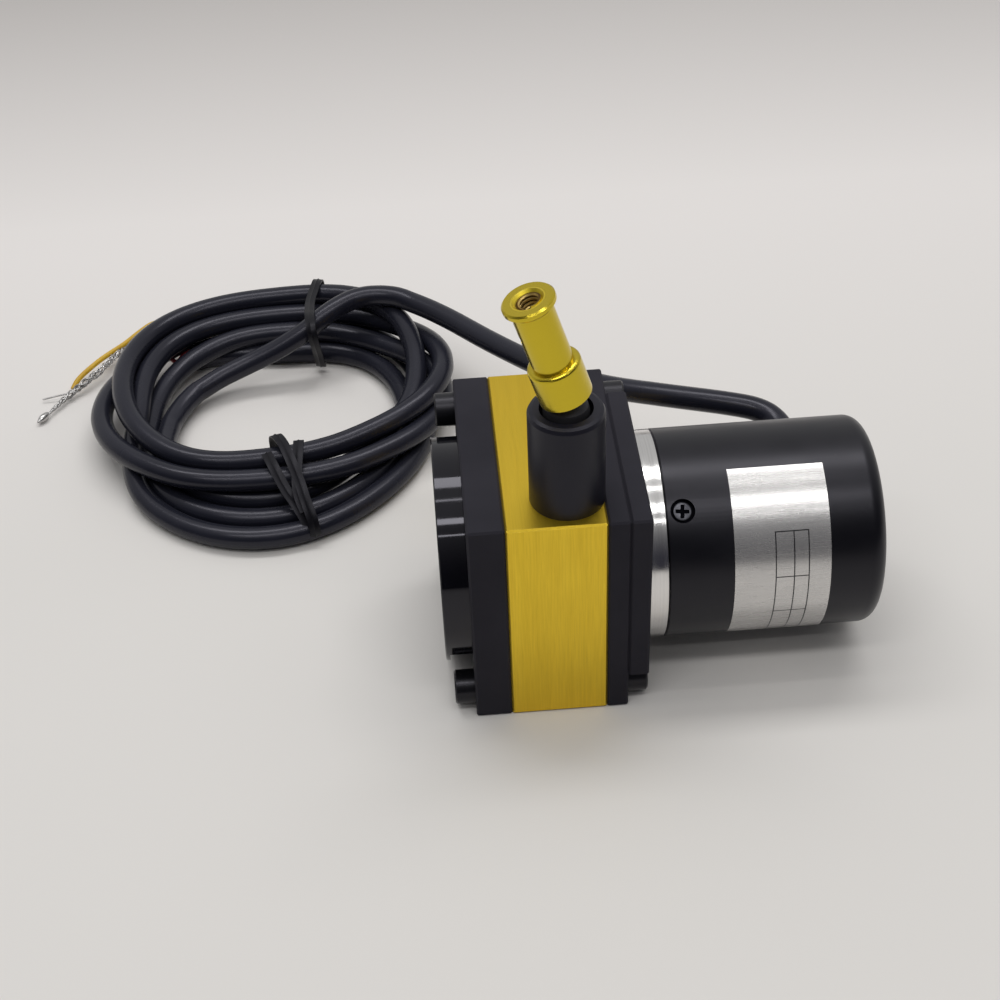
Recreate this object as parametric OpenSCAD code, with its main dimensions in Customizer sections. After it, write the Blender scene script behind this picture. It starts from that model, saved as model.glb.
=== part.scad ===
// Draw wire encoder: a spring-loaded wire drum that turns a rotary encoder.
// Millimetres, +Z up, X along the drum axis towards the encoder, origin under the middle.

/* [Housing] */
// Side of the square plates and of the gold block
side = 60; // [58:1:66]
// Thickness of the gold drum block along the drum axis
block_w = 23.6; // [22:0.2:30]
// Thickness of the plate on the spring side
spring_plate_w = 8.8; // [7:0.2:12]
// Thickness of the bearing plate on the encoder side
bearing_plate_w = 5.2; // [5:0.2:8]
// Thickness of the encoder flange plate
flange_w = 5; // [4:0.5:8]
// Side of the square notches that clear the tie screw heads
notch = 10.6; // [9.6:0.2:11.4]
// Chamfer on the edges of the plates and the block
edge = 0.5; // [0.2:0.1:1]
// Radius of the drum cavity in the block
cavity_r = 24; // [23.4:0.2:24.6]
// Distance between the two tapped mounting holes underneath
mount_spacing = 28; // [24:1:32]
// Depth of the tapped mounting holes
mount_depth = 7; // [5:0.5:7.5]
// Wall radius of the tapped M5 mounting holes
mount_r = 2.1; // [1.6:0.1:2.2]

/* [Tie screws] */
// Distance of the tie screws from the edges of the plates
screw_inset = 5.5; // [5.2:0.1:6]
// Radius of the tie screw shank
screw_r = 2.5; // [2:0.1:2.6]
// Radius of the tie screw head
screw_head_r = 4.25; // [3.5:0.05:4.4]
// Height of the tie screw head
screw_head_h = 5; // [4:0.5:5.2]
// Width across flats of the hexagon socket
screw_hex = 4; // [3:0.5:4.5]
// Length of thread in the block from the spring side
screw_grip_spring = 12; // [8:0.5:12]
// Length of thread in the block from the encoder side
screw_grip_encoder = 9; // [6:0.5:9.5]

/* [Power spring case] */
// Outside radius of the round spring case
case_r = 28; // [27:0.5:29]
// Depth of the spring case without its cover
case_w = 5.5; // [5:0.5:9]
// Inside radius of the spring case
case_bore_r = 21.5; // [20.5:0.5:22]
// Thickness of the spring case floor
case_floor = 0.9; // [0.6:0.1:1.2]
// Thickness of the round cover
cover_w = 1.1; // [0.8:0.1:2]
// Radius of the scallops that clear the tie screw heads
scallop_r = 11.5; // [10.5:0.25:11.75]
// Radius of the bolt circle of the cover screws
cover_screw_pcr = 24.6; // [24:0.2:25]
// Thickness of the spring strip
strip_t = 0.35; // [0.25:0.05:0.5]
// Turns of the spring strip
strip_turns = 8; // [5:1:9]

/* [Drum and shaft] */
// Wire paid out by one turn of the drum
wire_per_turn = 120; // [116:1:122]
// Wire diameter
wire_d = 1; // [0.6:0.1:1.2]
// Distance between neighbouring turns of wire
wire_pitch = 1.2; // [1.1:0.05:1.3]
// Turns of wire on the drum
wire_turns = 8.5; // [6.5:1:8.5]
// Radius of the drum flanges
drum_flange_r = 22.2; // [21:0.2:22.8]
// Thickness of each drum flange
drum_flange_w = 1.4; // [1:0.1:1.8]
// Radius of the drum shaft
shaft_r = 4; // [3:0.5:4.5]
// Outside radius of the ball bearings
bearing_r = 8; // [7.5:0.5:9]
// Width of the ball bearings
bearing_w = 4.6; // [4:0.2:5]
// Radial running clearance of shafts in their bearings
run_clear = 0.03; // [0.02:0.01:0.08]

/* [Wire outlet] */
// Radius of the outlet tube
outlet_r = 8.8; // [8:0.1:9.2]
// Height of the outlet tube above the block
outlet_h = 25.5; // [20:0.5:34]
// Radius of the mouth at the top of the outlet
mouth_r = 6.1; // [5.8:0.1:6.6]
// Depth of the mouth
mouth_h = 4; // [3:0.5:5]
// Chamfer around the top of the outlet
outlet_edge = 1.2; // [0.6:0.1:1.6]
// Offset of the outlet from the middle of the block towards the encoder
outlet_dx = 3.4; // [2:0.2:4]
// Length of the outlet's threaded foot in the block
outlet_foot = 7; // [5:0.5:9]

/* [Wire-end fitting] */
// Lean of the fitting at rest, from upright
fit_lean = 17; // [0:1:20]
// Compass turn of the lean away from the drum axis
fit_turn = 6.5; // [0:0.5:12]
// Length of the fitting
fit_l = 27.4; // [24:0.2:34]
// Radius of the collar at the foot of the fitting
collar_r = 6.1; // [5.8:0.1:6.4]
// Length of the collar
collar_l = 9.8; // [7:0.2:12]
// Radius of the fitting's neck
neck_r = 4.7; // [4.4:0.1:5.2]
// Radius of the flange at the top of the fitting
head_r = 6; // [5.6:0.1:7]
// Thickness of the flange at the top of the fitting
head_w = 1.6; // [1.2:0.1:2.4]
// Wall radius of the tapped hole in the fitting
tap_r = 2.5; // [2.1:0.1:2.8]
// Length of the tapped wall in the fitting
tap_l = 6.4; // [5:0.2:6.8]
// Height of the fitting's foot above the outlet
fit_lift = 3.5; // [3.2:0.1:4.5]

/* [Encoder] */
// Radius of the encoder
enc_r = 26; // [25:0.5:27]
// Length of the bright base ring
ring_w = 5.1; // [4.5:0.1:8]
// Length of the black cap
cap_l = 52.6; // [46:0.2:64]
// Wall of the cap
cap_wall = 1.6; // [1.2:0.1:2]
// Rounding at the closed end of the cap
cap_round = 4; // [2:0.5:5]
// Distance of the cap screws from the open end of the cap
cap_screw_x = 3.9; // [3.5:0.1:4.5]
// Angle of the first cap screw above the front
cap_screw_a = 51.5; // [40:0.5:60]
// Distance of the cable grommet from the closed end of the cap
grommet_x = 14; // [12:0.5:18]
// Angle of the cable grommet above the back
grommet_a = 9; // [0:1:40]
// Cable diameter
cable_d = 6.4; // [5:0.1:7]
// Width of the foil label along the encoder
label_w = 23; // [16:0.5:30]
// Distance of the label from the closed end of the cap
label_x = 14.1; // [8:0.1:18]
// Angle of the upper edge of the label above the front
label_top = 73; // [60:1:90]
// Angle of the lower edge of the label below the front
label_foot = 58; // [20:1:80]
// Thickness of the foil
foil_t = 0.12; // [0.08:0.02:0.2]

/* [Coil] */
// Outside radius of the coil of cable
coil_r = 57; // [52:1:64]
// Width of the bundle of turns
coil_w = 27; // [22:1:30]
// Height of the bundle of turns
coil_h = 18; // [15:1:18]

/* [Hidden] */
$fn = 64;

// Faces of the stack along the drum axis, left to right
total_l = cover_w + case_w + spring_plate_w + block_w + bearing_plate_w + flange_w + ring_w + cap_l;
x_cover = -total_l / 2;
x_case = x_cover + cover_w;
x_spring_plate = x_case + case_w;
x_block = x_spring_plate + spring_plate_w;
x_bearing_plate = x_block + block_w;
x_flange = x_bearing_plate + bearing_plate_w;
x_ring = x_flange + flange_w;
x_cap = x_ring + ring_w;
x_end = x_cap + cap_l;
axis_z = side / 2;

// Corners that carry a tie screw: the upper front corner is left to the wire outlet
corners = [[1, 1], [1, -1], [-1, -1]];
screw_at = side / 2 - screw_inset;
plate_hole_gap = 0.25;
socket_depth = 2.5;

// Drum and wire
pitch_r = wire_per_turn / (2 * PI);
rim_r = pitch_r - wire_d / 2 - 0.2;
outlet_x = x_block + block_w / 2 + outlet_dx;
outlet_y = -pitch_r;
drum_x1 = outlet_x + wire_d / 2 + 0.4 + drum_flange_w;
drum_x0 = outlet_x - wire_pitch * wire_turns - wire_d / 2 - 0.4 - drum_flange_w;
hub_r = shaft_r + 3.5;
seat_gap = 0.3;

// Bearings, spacers and shaft ends
bearing_x0 = x_block - bearing_w;
bearing_x1 = x_flange - bearing_w;
lip_r = bearing_r - 1.4;
spacer_r = shaft_r + 1.4;
shaft_x0 = x_case + 0.5;
shaft_x1 = x_ring - 0.7;
arbor_r = shaft_r + 2;
spring_gap = 0.4;
cover_screw_r = 1.25;
cover_screw_head_r = 2.2;

// Small screws inside
m3_r = 1.5;
m3_head_r = 2.8;
flange_screw_pcr = cavity_r - m3_head_r - 0.4;
base_screw_pcr = enc_r - 11;
collar_ring_r = shaft_r + 2.4;

// Wire outlet, from the mouth down
outlet_top = side + outlet_h;
foot_r = outlet_r - 2.8;
bush_r = 3.2;
bush_h = 3;
bush_hole_r = wire_d / 2 + seat_gap;
mouth_z = outlet_top - mouth_h;
seat_z = mouth_z - (mouth_r - bush_r);
wire_way_r = 2;

// Wire-end fitting: it tips about the middle of its foot
pivot = [outlet_x, outlet_y, outlet_top + fit_lift];
bead_r = 1.25;
bead_h = 2.9;
web_t = 1.2;
stop_top = pivot[2] - 0.8;
stop_foot = seat_z + seat_gap;
collar_round = 1;
relief_r = tap_r + 0.3;
sink_r = tap_r + 1.1;
cross_hole_r = 1.2;
cross_hole_drop = 8.9;

// Encoder
enc_shaft_r = 2.5;
enc_bearing_r = 6;
skirt_l = cap_screw_x + 3.2;
board_x = x_cap + 12;
board_t = 1.6;
board_r = enc_r - 5;
socket_w = 18;
socket_h = 6;
socket_d = 5.5;
chip_w = 5;
chip_t = 1;
magnet_r = 3;
magnet_t = 2;
magnet_x = board_x - chip_t - 0.8 - magnet_t;
cap_hole_r = cable_d / 2 + 1;
grommet_r = cable_d / 2 + 3.2;
grommet_h = 3.8;
cap_screw_head_r = 1.45;
cap_screw_hole_r = 2;
cap_screw_r = 1;
cap_sink = 1;

// Cable: centre of the coil, hand-laid points of the lead and of the bare ends
coil_at = [-99.5, 92.5];
grommet_dir = [0, cos(grommet_a), sin(grommet_a)];
grommet_at = [x_end - grommet_x, 0, axis_z];
lead_points = concat(
    [for (r = [enc_r - 2.5, enc_r, enc_r + grommet_h]) grommet_at + r * grommet_dir],
    [[38.5, 33.5, 35.2], [36.5, 37, 35.7], [33, 39.8, 36], [28, 42.2, 36], [22, 45, 35.6],
     [15, 48.5, 34.8], [7, 53, 33.6], [-1, 58.5, 31.8], [-9, 66, 29.4], [-18, 76.5, 26.7],
     [-27, 88.5, 24.5], [-36, 100.5, 23], [-45, 112, 22.3], [-53, 120.5, 22],
     [-60, 126, 21.8], [-67.5, 128.3, 21.4], [-75, 126.8, 21.4], [-82.5, 122.5, 20],
     [-90.5, 118.5, 16.2], [-99.5, 116, 12], [-109, 114, 8.5], [-118.5, 110.5, 6],
     [-126, 105, 4.5], [-130.5, 98, 3.5]]);
yellow_points = [[-124, 134, 3], [-132, 144, 2.5], [-138, 149.5, 3], [-141.5, 148.5, 3.2],
    [-145.5, 143.5, 4], [-151, 136.4, 4.9], [-155.5, 131, 4.5], [-158.5, 126.5, 3.5],
    [-162, 122.5, 2.5], [-163.5, 119.5, 1.2]];
screen_points = [[-128, 128, 3], [-140, 136, 2.5], [-147, 138, 3], [-151, 134, 3.5],
    [-154, 127, 4], [-157.5, 121.5, 3.8], [-163, 116, 2.5], [-167, 111, 2],
    [-170, 106, 1.6], [-172.5, 103, 1.5]];
core_r = 0.8;
screen_r = 1.3;
tie_w = 3;
tie_t = 1;
tie_back_a = 73;
tie_front_a = -80;

function unit(v) = v / norm(v);

// Cylinder on the drum axis between two places
module rod(x0, x1, r) {
    translate([x0, 0, axis_z]) rotate([0, 90, 0]) cylinder(h = x1 - x0, r = r);
}

// Cylinder parallel to the drum axis at [y, z] from that axis
module rod_at(at, x0, x1, r) {
    translate([0, at[0], at[1]]) rod(x0, x1, r);
}

// Profile of [radius, x] points turned about the drum axis
module turned(points) {
    translate([0, 0, axis_z]) rotate([0, 90, 0]) rotate_extrude() polygon(points);
}

// Rectangle with its corners cut by c
module cut_square(a, b, c) {
    polygon([[-a + c, -b], [a - c, -b], [a, -b + c], [a, b - c],
        [a - c, b], [-a + c, b], [-a, b - c], [-a, -b + c]]);
}

// Square plate across the drum axis with chamfered edges
module plate(x0, w) {
    translate([x0 + w / 2, 0, side / 2]) intersection() {
        rotate([0, 90, 0]) linear_extrude(w, center = true) cut_square(side / 2, side / 2, edge);
        rotate([90, 0, 0]) linear_extrude(side, center = true) cut_square(w / 2, side / 2, edge);
        linear_extrude(side, center = true) cut_square(w / 2, side / 2, edge);
    }
}

// Tube swept along points, a flat-sided ring at each of them
module swept(points, r, sides) {
    n = len(points);
    dirs = [for (i = [0:n - 1]) unit(points[min(i + 1, n - 1)] - points[max(i - 1, 0)])];
    rings = [for (i = [0:n - 1]) let (s = unit(cross(dirs[i], [0, 0, 1])), u = cross(s, dirs[i]))
        for (k = [0:sides - 1]) points[i] + r * (cos(360 * k / sides) * s + sin(360 * k / sides) * u)];
    walls = [for (i = [0:n - 2], k = [0:sides - 1]) let (a = i * sides + k, b = i * sides + (k + 1) % sides)
        each [[a, b, b + sides], [a, b + sides, a + sides]]];
    foot = [for (k = [sides - 1:-1:0]) k];
    head = [for (k = [0:sides - 1]) (n - 1) * sides + k];
    polyhedron(rings, concat([foot], walls, [head]));
}

// Socket head screw pointing along +X from x = 0, its head behind that
module socket_screw(length) {
    rotate([0, 90, 0]) {
        cylinder(h = length, r = screw_r);
        difference() {
            translate([0, 0, -screw_head_h]) union() {
                cylinder(h = 0.4, r1 = screw_head_r - 0.4, r2 = screw_head_r);
                translate([0, 0, 0.4]) cylinder(h = screw_head_h - 0.4, r = screw_head_r);
            }
            translate([0, 0, -screw_head_h - 1])
                cylinder(h = socket_depth + 1, d = screw_hex / cos(30), $fn = 6);
        }
    }
}

// Countersunk screw pointing along +X, its flat head at x = 0
module sunk_screw(length, r, head_r) {
    rotate([0, 90, 0]) rotate_extrude()
        polygon([[0, 0], [head_r, 0], [r, head_r - r], [r, length], [0, length]]);
}

// Hole for a countersunk screw
module sunk_hole(length, r, head_r) {
    translate([-1, 0, 0]) rotate([0, 90, 0]) rotate_extrude()
        polygon([[0, 0], [head_r, 0], [head_r, 1], [r, 1 + head_r - r], [r, length + 1], [0, length + 1]]);
}

module at_corners() {
    for (c = corners) translate([0, c[0] * screw_at, axis_z + c[1] * screw_at]) children();
}

// Places on a bolt circle around the drum axis
module around(count, r, first = 0) {
    for (i = [0:count - 1])
        translate([0, 0, axis_z]) rotate([first + 360 * i / count, 0, 0]) translate([0, r, 0]) children();
}

// ---- Housing ----

module drum_block() {
    color("goldenrod") difference() {
        plate(x_block, block_w);
        rod(x_block - 1, x_bearing_plate + 1, cavity_r);
        at_corners() translate([x_block - 1, 0, 0]) rotate([0, 90, 0])
            cylinder(h = screw_grip_spring + 1, r = screw_r);
        at_corners() translate([x_bearing_plate - screw_grip_encoder, 0, 0]) rotate([0, 90, 0])
            cylinder(h = screw_grip_encoder + 1, r = screw_r);
        translate([outlet_x, outlet_y, side - outlet_foot]) cylinder(h = outlet_foot + 1, r = foot_r);
        translate([outlet_x, outlet_y, axis_z]) cylinder(h = axis_z, r = wire_way_r);
        for (s = [-1, 1]) translate([x_block + block_w / 2, s * mount_spacing / 2, -1])
            cylinder(h = mount_depth + 1, r = mount_r);
    }
}

module spring_plate() {
    color("#26262a") difference() {
        plate(x_spring_plate, spring_plate_w);
        rod(bearing_x0, x_block + 1, bearing_r);
        rod(x_spring_plate - 1, x_block, lip_r);
        at_corners() translate([x_spring_plate - 1, 0, 0]) rotate([0, 90, 0])
            cylinder(h = spring_plate_w + 2, r = screw_r + plate_hole_gap);
    }
}

module bearing_plate() {
    color("#26262a") difference() {
        plate(x_bearing_plate, bearing_plate_w);
        rod(bearing_x1, x_flange + 1, bearing_r);
        rod(x_bearing_plate - 1, x_flange, lip_r);
        at_corners() translate([x_bearing_plate - 1, 0, 0]) rotate([0, 90, 0])
            cylinder(h = bearing_plate_w + 2, r = screw_r + plate_hole_gap);
        around(4, flange_screw_pcr, 45) translate([x_bearing_plate, 0, 0])
            sunk_hole(bearing_plate_w + 1, m3_r, m3_head_r);
    }
}

module encoder_flange() {
    color("#26262a") difference() {
        plate(x_flange, flange_w);
        for (c = corners)
            translate([x_flange - 1, c[0] * side / 2 - notch, axis_z + c[1] * side / 2 - notch])
                cube([flange_w + 2, 2 * notch, 2 * notch]);
        rod(x_flange - 1, x_ring + 1, collar_ring_r + 1);
        around(4, flange_screw_pcr, 45) rotate([0, 90, 0])
            translate([0, 0, x_flange - 1]) cylinder(h = flange_w, r = m3_r);
        around(3, base_screw_pcr, 30) translate([x_flange, 0, 0]) sunk_hole(flange_w + 1, m3_r, m3_head_r);
    }
}

module spring_case() {
    color("#141416") difference() {
        rod(x_case, x_spring_plate, case_r);
        rod(x_case - 1, x_spring_plate - case_floor, case_bore_r);
        rod(x_case, x_spring_plate + 1, lip_r);
        at_corners() translate([x_case - 1, 0, 0]) rotate([0, 90, 0])
            cylinder(h = case_w + 2, r = scallop_r);
        around(4, cover_screw_pcr) rotate([0, 90, 0])
            translate([0, 0, x_case - 1]) cylinder(h = 4, r = cover_screw_r);
    }
}

module spring_cover() {
    color("#141416") difference() {
        turned([[0, x_cover], [case_r - 0.3, x_cover], [case_r, x_cover + 0.3], [case_r, x_case], [0, x_case]]);
        around(4, cover_screw_pcr) translate([x_cover, 0, 0])
            sunk_hole(cover_w + 1, cover_screw_r, cover_screw_head_r);
    }
}

module cover_screws() {
    color("#303034") around(4, cover_screw_pcr) translate([x_cover, 0, 0])
        sunk_screw(cover_w + 3, cover_screw_r, cover_screw_head_r);
}

module tie_screws_spring_side() {
    color("#1c1c1e") at_corners() translate([x_spring_plate, 0, 0])
        socket_screw(spring_plate_w + screw_grip_spring);
}

module tie_screws_encoder_side() {
    color("#1c1c1e") at_corners() translate([x_flange, 0, 0]) rotate([0, 0, 180])
        socket_screw(bearing_plate_w + screw_grip_encoder);
}

module flange_screws() {
    color("silver") around(4, flange_screw_pcr, 45) translate([x_bearing_plate, 0, 0])
        sunk_screw(bearing_plate_w + flange_w - 1, m3_r, m3_head_r);
}

// ---- Wire outlet ----

module wire_outlet() {
    color("#1a1a1c") translate([outlet_x, outlet_y, 0]) rotate_extrude() polygon([
        [wire_way_r, side - outlet_foot], [foot_r, side - outlet_foot], [foot_r, side],
        [outlet_r, side], [outlet_r, outlet_top - outlet_edge],
        [outlet_r - 0.35 * outlet_edge, outlet_top - 0.3 * outlet_edge],
        [outlet_r - outlet_edge, outlet_top], [mouth_r, outlet_top], [mouth_r, mouth_z],
        [bush_r, seat_z], [bush_r, seat_z - bush_h], [wire_way_r, seat_z - bush_h]]);
}

module guide_bush() {
    color("white") translate([outlet_x, outlet_y, seat_z - bush_h]) rotate_extrude() polygon([
        [bush_hole_r + 0.7, 0], [bush_r, 0], [bush_r, bush_h], [bush_hole_r + 0.7, bush_h],
        [bush_hole_r + 0.2, bush_h - 0.3], [bush_hole_r, bush_h - 0.8], [bush_hole_r, 0.8],
        [bush_hole_r + 0.2, 0.3]]);
}

// ---- Bearings and power spring ----

// Shielded ball bearing: rings with a sunk shield between them
module ball_bearing(x0, w, r_in, r_out) {
    shield = 0.3;
    wall = (r_out - r_in) * 0.25;
    color("silver") turned([[r_in, x0], [r_in + wall, x0], [r_in + wall, x0 + shield],
        [r_out - wall, x0 + shield], [r_out - wall, x0], [r_out, x0], [r_out, x0 + w],
        [r_out - wall, x0 + w], [r_out - wall, x0 + w - shield], [r_in + wall, x0 + w - shield],
        [r_in + wall, x0 + w], [r_in, x0 + w]]);
}

module bearing_spring_side() {
    ball_bearing(bearing_x0, bearing_w, shaft_r + run_clear, bearing_r);
}

module bearing_encoder_side() {
    ball_bearing(bearing_x1, bearing_w, shaft_r + run_clear, bearing_r);
}

// Flat spiral strip from just outside the arbor to the wall of its case
module power_spring() {
    steps = 28;
    r0 = arbor_r + seat_gap;
    growth = (case_bore_r - strip_t - r0) / strip_turns;
    angles = [for (i = [0:steps * strip_turns]) i * 360 / steps];
    inner = [for (a = angles) (r0 + growth * a / 360) * [cos(a), sin(a)]];
    outer = [for (i = [len(angles) - 1:-1:0]) (r0 + strip_t + growth * angles[i] / 360)
        * [cos(angles[i]), sin(angles[i])]];
    color("lightsteelblue") translate([x_case + spring_gap, 0, axis_z]) rotate([0, 90, 0])
        linear_extrude(case_w - case_floor - 2 * spring_gap) polygon(concat(inner, outer));
}

// ---- Encoder ----

module encoder_base() {
    color("gainsboro") difference() {
        union() {
            turned([[0, x_ring], [enc_r - 0.4, x_ring], [enc_r, x_ring + 0.4], [enc_r, x_cap - 0.3],
                [enc_r - 0.3, x_cap], [0, x_cap]]);
            rod(x_cap - 1, x_cap + skirt_l, enc_r - cap_wall - 0.05);
        }
        rod(x_cap + 1, x_cap + skirt_l + 1, enc_r - cap_wall - 4);
        rod(x_ring - 1, x_cap + 2, enc_bearing_r - 1.2);
        rod(x_ring + 1.5, x_cap + 2, enc_bearing_r);
        around(3, base_screw_pcr, 30) rotate([0, 90, 0])
            translate([0, 0, x_ring - 1]) cylinder(h = ring_w + 0.2, r = m3_r);
        cap_screw_places() rotate([-90, 0, 0]) cylinder(h = 4, r = cap_screw_r);
    }
}

module base_screws() {
    color("silver") around(3, base_screw_pcr, 30) translate([x_flange, 0, 0])
        sunk_screw(flange_w + ring_w - 1, m3_r, m3_head_r);
}

module encoder_bearing() {
    ball_bearing(x_ring + 1.5, ring_w - 1.5, enc_shaft_r + run_clear, enc_bearing_r);
}

module encoder_board() {
    color("darkgreen") {
        rod(board_x, board_x + board_t, board_r);
        translate([board_x + board_t, -socket_w / 2, axis_z - board_r * 0.6])
            cube([socket_d, socket_w, socket_h]);
        translate([board_x - chip_t, -chip_w / 2, axis_z - chip_w / 2]) cube([chip_t, chip_w, chip_w]);
    }
}

module board_posts() {
    color("silver") around(3, board_r - 3, 90) rotate([0, 90, 0])
        translate([0, 0, x_cap + 1]) cylinder(h = board_x - x_cap - 1, r = 1.8);
}

// Screw places around the open end of the cap, +Y of each child pointing at the axis
module cap_screw_places() {
    for (i = [0:2]) translate([x_cap + cap_screw_x, 0, axis_z])
        rotate([-cap_screw_a - 120 * i, 0, 0]) translate([0, -enc_r + cap_sink, 0]) children();
}

module encoder_cap() {
    in_r = enc_r - cap_wall;
    in_round = max(cap_round - cap_wall, 0.5);
    color("#17171a") difference() {
        translate([0, 0, axis_z]) rotate([0, 90, 0]) rotate_extrude() polygon(concat(
            [[in_r, x_cap], [enc_r - 0.3, x_cap], [enc_r, x_cap + 0.3]],
            [for (a = [0:15:90]) [enc_r - cap_round + cap_round * cos(a), x_end - cap_round + cap_round * sin(a)]],
            [[0, x_end], [0, x_end - cap_wall]],
            [for (a = [90:-15:0]) [in_r - in_round + in_round * cos(a),
                x_end - cap_wall - in_round + in_round * sin(a)]]));
        cap_screw_places() rotate([90, 0, 0]) cylinder(h = 2, r = cap_screw_hole_r);
        cap_screw_places() rotate([-90, 0, 0]) translate([0, 0, -1]) cylinder(h = 4, r = cap_screw_r + 0.1);
        translate(grommet_at) rotate([grommet_a - 90, 0, 0]) cylinder(h = enc_r + 2, r = cap_hole_r);
    }
}

// Pan head screws sunk in the cap and screwed into the skirt of the base
module cap_screws() {
    color("#2c2c30") cap_screw_places() {
        rotate([90, 0, 0]) cylinder(h = 0.7, r = cap_screw_head_r);
        rotate([-90, 0, 0]) cylinder(h = 3.5, r = cap_screw_r);
    }
}

// Rubber grommet with a bore for the cable and a collar outside the cap
module cable_grommet() {
    color("#1b1b1b") difference() {
        translate(grommet_at) rotate([grommet_a - 90, 0, 0]) union() {
            translate([0, 0, enc_r - cap_wall - 1.5]) cylinder(h = cap_wall + 2, r = cap_hole_r);
            difference() {
                translate([0, 0, enc_r - 2]) union() {
                    cylinder(h = 2 + grommet_h - 1, r = grommet_r);
                    translate([0, 0, 1 + grommet_h]) cylinder(h = 1, r1 = grommet_r, r2 = grommet_r - 0.8);
                }
                rotate([0, 90, 0]) cylinder(h = 40, r = enc_r, center = true, $fn = 128);
            }
        }
        translate(grommet_at) rotate([grommet_a - 90, 0, 0])
            cylinder(h = enc_r + grommet_h + 1, r = cable_d / 2 + 0.05);
    }
}

// Bare foil around the front of the cap
module foil_label() {
    color("#d8d8dc") translate([x_end - label_x - label_w, 0, axis_z]) rotate([0, 90, 0])
        rotate([0, 0, 270 - label_top]) rotate_extrude(angle = label_top + label_foot)
        translate([enc_r, 0]) square([foil_t, label_w]);
}

// ---- Drum body ----

module wire_drum() {
    web = 3;
    mid = (drum_x0 + drum_x1) / 2;
    color("silver") turned([[shaft_r, drum_x0], [hub_r, drum_x0], [hub_r, mid - web / 2],
        [rim_r - 3, mid - web / 2], [rim_r - 3, drum_x0], [drum_flange_r, drum_x0],
        [drum_flange_r, drum_x0 + drum_flange_w], [rim_r, drum_x0 + drum_flange_w],
        [rim_r, drum_x1 - drum_flange_w], [drum_flange_r, drum_x1 - drum_flange_w],
        [drum_flange_r, drum_x1], [rim_r - 3, drum_x1], [rim_r - 3, mid + web / 2],
        [hub_r, mid + web / 2], [hub_r, drum_x1], [shaft_r, drum_x1]]);
}

module drum_shaft() {
    color("gray") difference() {
        rod(shaft_x0, shaft_x1, shaft_r);
        rod(x_flange - 6, shaft_x1 + 1, enc_shaft_r);
    }
}

module shaft_spacers() {
    color("gray") {
        turned([[shaft_r, x_block + 0.2], [spacer_r, x_block + 0.2], [spacer_r, drum_x0], [shaft_r, drum_x0]]);
        turned([[shaft_r, drum_x1], [spacer_r, drum_x1], [spacer_r, bearing_x1 - 0.2],
            [shaft_r, bearing_x1 - 0.2]]);
    }
}

module spring_arbor() {
    color("dimgray") turned([[shaft_r, shaft_x0], [arbor_r, shaft_x0],
        [arbor_r, x_spring_plate - case_floor - spring_gap], [shaft_r, x_spring_plate - case_floor - spring_gap]]);
}

// Wire wound on the drum; its last turn ends where the straight run leaves upwards
module wound_wire() {
    steps = 24;
    n = steps * wire_turns;
    sides = 6;
    rings = [for (i = [0:n]) let (a = 180 - i * 360 / steps, x = outlet_x - wire_pitch * i / steps)
        for (k = [0:sides - 1]) let (r = pitch_r + wire_d / 2 * cos(60 * k))
            [x + wire_d / 2 * sin(60 * k), r * cos(a), axis_z - r * sin(a)]];
    walls = [for (i = [0:n - 1], k = [0:sides - 1]) let (a = i * sides + k, b = i * sides + (k + 1) % sides)
        each [[a, b + sides, b], [a, a + sides, b + sides]]];
    color("lightgray") polyhedron(rings, concat([[for (k = [0:sides - 1]) k]], walls,
        [[for (k = [sides - 1:-1:0]) n * sides + k]]));
}

module clamp_collar() {
    color("dimgray") difference() {
        rod(x_flange + 0.4, shaft_x1, collar_ring_r);
        rod(x_flange, shaft_x1 + 1, shaft_r);
        translate([x_flange, -0.5, axis_z]) cube([flange_w, 1, collar_ring_r + 1]);
    }
}

module encoder_shaft() {
    color("silver") rod(x_flange - 5.5, magnet_x, enc_shaft_r);
}

module magnet() {
    color("#505050") rod(magnet_x, magnet_x + magnet_t, magnet_r);
}

// ---- Wire end ----

module wire_stop() {
    color("#202020") translate([outlet_x, outlet_y, 0]) rotate_extrude() polygon([
        [0, stop_foot], [bush_r - 0.3, stop_foot], [mouth_r - 1, stop_foot + mouth_r - bush_r - 0.7],
        [mouth_r - 0.8, outlet_top - 0.6], [mouth_r - 1.2, pivot[2] - 2.6],
        [3.6, pivot[2] - 1.6], [1.6, stop_top], [0, stop_top]]);
}

module wire_bead() {
    color("silver") {
        translate([pivot[0], pivot[1], stop_top])
            cylinder(h = pivot[2] + bead_h - stop_top, r = wire_d / 2);
        translate(pivot + [0, 0, bead_h]) sphere(r = bead_r);
    }
}

module wire_run() {
    color("lightgray") translate([outlet_x, outlet_y, axis_z])
        cylinder(h = stop_foot - axis_z, r = wire_d / 2, $fn = 24);
}

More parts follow.
